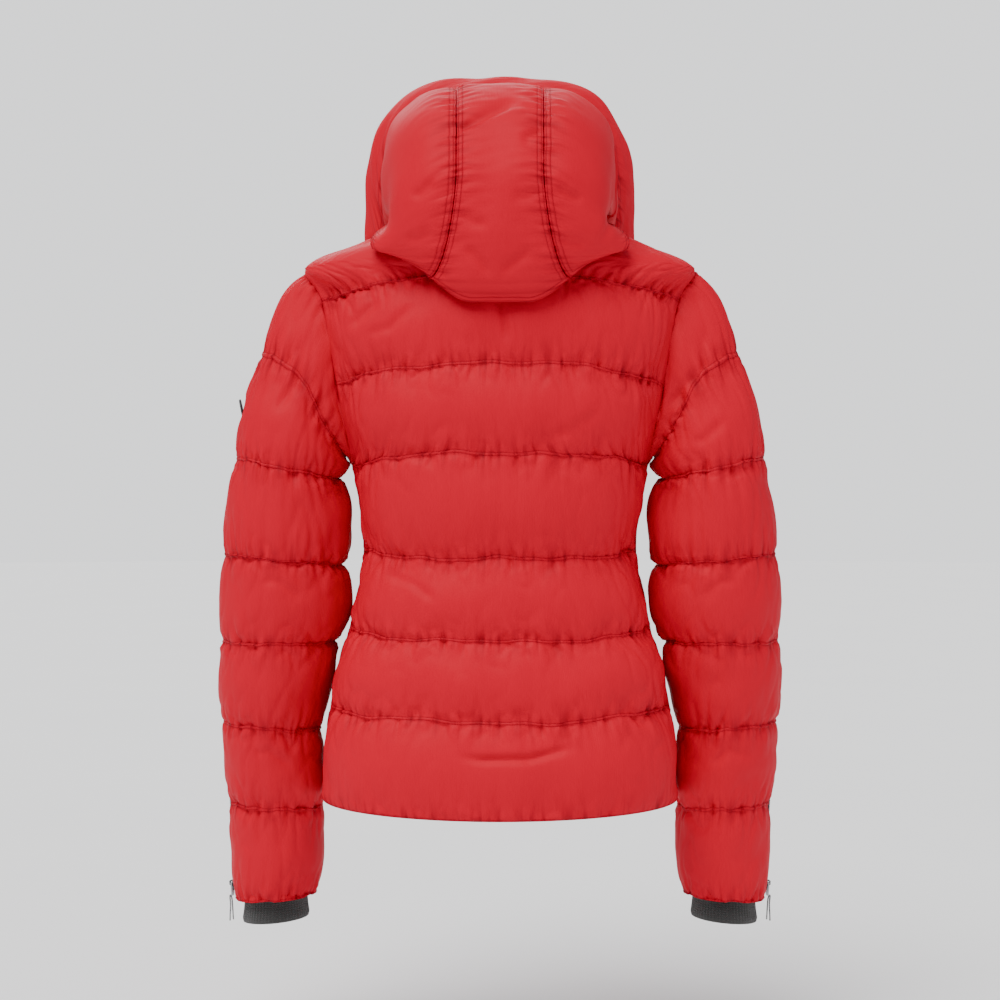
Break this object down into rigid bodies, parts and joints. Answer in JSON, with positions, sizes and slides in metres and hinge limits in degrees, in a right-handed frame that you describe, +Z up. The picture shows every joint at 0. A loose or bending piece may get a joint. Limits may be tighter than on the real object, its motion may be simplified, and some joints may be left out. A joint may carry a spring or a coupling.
{
  "type": "hooded ski jacket",
  "caption": "Quilted padded jacket with a three-panel hood, rib-knit cuffs, zipped cuffs, zipped hand pockets and a closed front zip.",
  "frame": {"origin": "middle of the neck opening, at the height of the neck seam at the centre back", "axes": "+Z up along the body, +X towards the wearer's left, the wearer faces -Y"},
  "size_m": [0.5958, 0.2588, 0.9142],
  "materials": {
    "shell": "quilted woven polyester with a satin sheen",
    "lining": "plain woven lining",
    "wadding": "polyester wadding",
    "rib_knit": "ribbed knit",
    "zip_tape": "woven tape and nylon coil",
    "zip_metal": "black coated zinc",
    "pull_metal": "brushed",
    "badge": "moulded, plain",
    "cord": "braided"
  },
  "bodies": {
    "jacket_body": {"back_panel": "shell", "back_yoke": "shell", "back_wadding": "wadding", "back_lining": "lining", "front_panel_left": "shell", "front_yoke_left": "shell", "front_wadding_left": "wadding", "front_lining_left": "lining", "front_panel_right": "shell", "front_yoke_right": "shell", "front_wadding_right": "wadding", "front_lining_right": "lining", "collar_outer": "shell", "collar_lining": "lining", "hanger_loop": "zip_tape", "front_zip_tape_left": "zip_tape", "front_zip_tape_right": "zip_tape", "front_zip_coil_left": "zip_tape", "front_zip_coil_right": "zip_tape", "front_zip_box": "zip_metal", "front_storm_flap": "shell", "pocket_zip_left_tape": "zip_tape", "pocket_zip_left_coil": "zip_tape", "pocket_zip_right_tape": "zip_tape", "pocket_zip_right_coil": "zip_tape", "pocket_bag_left": "lining", "pocket_bag_right": "lining"},
    "hood": {"hood_brim": "shell", "hood_centre_panel": "shell", "hood_side_left": "shell", "hood_side_right": "shell", "hood_lining": "lining"},
    "sleeve_left": {"sleeve_head_left": "shell", "sleeve_shell_left": "shell", "sleeve_wadding_left": "wadding", "sleeve_lining_left": "lining", "rib_cuff_left": "rib_knit", "cuff_zip_left_tape": "zip_tape", "cuff_zip_left_coil": "zip_tape", "arm_badge": "badge"},
    "sleeve_right": {"sleeve_head_right": "shell", "sleeve_shell_right": "shell", "sleeve_wadding_right": "wadding", "sleeve_lining_right": "lining", "rib_cuff_right": "rib_knit", "cuff_zip_right_tape": "zip_tape", "cuff_zip_right_coil": "zip_tape"},
    "front_zip_slider": {"front_zip_slider": "zip_metal"},
    "front_zip_pull": {"front_zip_pull": "pull_metal"},
    "pocket_zip_left_slider": {"pocket_zip_left_slider": "zip_metal"},
    "pocket_zip_left_pull": {"pocket_zip_left_pull": "pull_metal"},
    "pocket_zip_right_slider": {"pocket_zip_right_slider": "zip_metal"},
    "pocket_zip_right_pull": {"pocket_zip_right_pull": "pull_metal"},
    "cuff_zip_left_slider": {"cuff_zip_left_slider": "zip_metal"},
    "cuff_zip_left_pull": {"cuff_zip_left_pull": "pull_metal", "cuff_pull_cord_left": "cord"},
    "cuff_zip_right_slider": {"cuff_zip_right_slider": "zip_metal"},
    "cuff_zip_right_pull": {"cuff_zip_right_pull": "pull_metal", "cuff_pull_cord_right": "cord"}
  },
  "joints": [
    {"name": "front_zip_slide", "type": "slide", "parent": "jacket_body", "child": "front_zip_slider", "axis": [0, -0.0519, -0.9987], "range_m": [0, 0.575]},
    {"name": "front_zip_pull_hinge", "type": "hinge", "parent": "front_zip_slider", "child": "front_zip_pull", "pos_m": [0, -0.10231, 0.02586], "axis": [-1, 0, 0], "range_deg": [0, 100]},
    {"name": "pocket_zip_left_slide", "type": "slide", "parent": "jacket_body", "child": "pocket_zip_left_slider", "axis": [0.3456, 0.1068, -0.9323], "range_m": [0, 0.1]},
    {"name": "pocket_zip_left_pull_hinge", "type": "hinge", "parent": "pocket_zip_left_slider", "child": "pocket_zip_left_pull", "pos_m": [0.11024, -0.0941, -0.36255], "axis": [-0.6466, -0.6929, -0.3191], "range_deg": [0, 100]},
    {"name": "pocket_zip_right_slide", "type": "slide", "parent": "jacket_body", "child": "pocket_zip_right_slider", "axis": [-0.3456, 0.1068, -0.9323], "range_m": [0, 0.1]},
    {"name": "pocket_zip_right_pull_hinge", "type": "hinge", "parent": "pocket_zip_right_slider", "child": "pocket_zip_right_pull", "pos_m": [-0.11024, -0.0941, -0.36255], "axis": [-0.6466, 0.6929, 0.3191], "range_deg": [0, 100]},
    {"name": "shoulder_left", "type": "hinge", "parent": "jacket_body", "child": "sleeve_left", "pos_m": [0.165, 0, -0.075], "axis": [0, -1, 0], "range_deg": [0, 45], "deforming": ["sleeve_head_left", "arm_badge"]},
    {"name": "cuff_zip_left_slide", "type": "slide", "parent": "sleeve_left", "child": "cuff_zip_left_slider", "axis": [0.0455, 0.1303, 0.9904], "range_m": [0, 0.14]},
    {"name": "cuff_zip_left_pull_hinge", "type": "hinge", "parent": "cuff_zip_left_slider", "child": "cuff_zip_left_pull", "pos_m": [0.2897, -0.07268, -0.6832], "axis": [-0.2396, -0.9611, 0.1375], "range_deg": [0, 100]},
    {"name": "shoulder_right", "type": "hinge", "parent": "jacket_body", "child": "sleeve_right", "pos_m": [-0.165, 0, -0.075], "axis": [0, 1, 0], "range_deg": [0, 45], "deforming": ["sleeve_head_right"]},
    {"name": "cuff_zip_right_slide", "type": "slide", "parent": "sleeve_right", "child": "cuff_zip_right_slider", "axis": [-0.0455, 0.1303, 0.9904], "range_m": [0, 0.14]},
    {"name": "cuff_zip_right_pull_hinge", "type": "hinge", "parent": "cuff_zip_right_slider", "child": "cuff_zip_right_pull", "pos_m": [-0.2897, -0.07268, -0.6832], "axis": [-0.2396, 0.9611, -0.1375], "range_deg": [0, 100]},
    {"name": "hood_fold", "type": "hinge", "parent": "jacket_body", "child": "hood", "pos_m": [0, -0.052, 0.008], "axis": [-1, 0, 0], "range_deg": [0, 50], "deforming": ["hood_centre_panel", "hood_side_left", "hood_side_right", "hood_lining"]}
  ]
}
